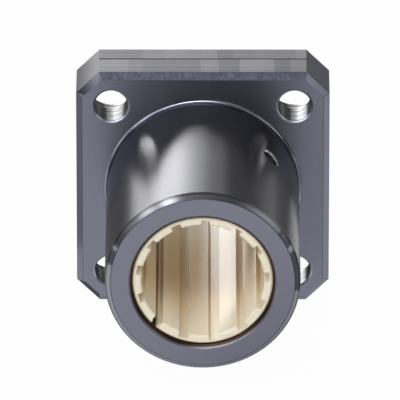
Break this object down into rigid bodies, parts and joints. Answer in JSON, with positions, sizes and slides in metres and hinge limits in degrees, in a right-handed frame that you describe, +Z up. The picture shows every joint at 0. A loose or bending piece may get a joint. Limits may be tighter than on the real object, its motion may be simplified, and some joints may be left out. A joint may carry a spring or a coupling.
{
  "type": "flanged linear bearing",
  "caption": "Plain linear bearing for a round shaft: square mounting flange with a round barrel in one piece, lined with a grooved and slit polymer sleeve.",
  "frame": {"origin": "centre of the flange's seat face, the flat face round the barrel, on the shaft's axis", "axes": "+Y along the shaft's axis from the barrel's nose to the flange's back, +Z up, +X to the right when looking at the nose"},
  "size_m": [0.042, 0.045, 0.042],
  "materials": {
    "housing": "dark grey hard anodised over turned and milled surfaces",
    "liner": "cream moulded polymer, satin"
  },
  "bodies": {
    "root": {"housing": "housing", "liner": "liner"}
  },
  "joints": []
}
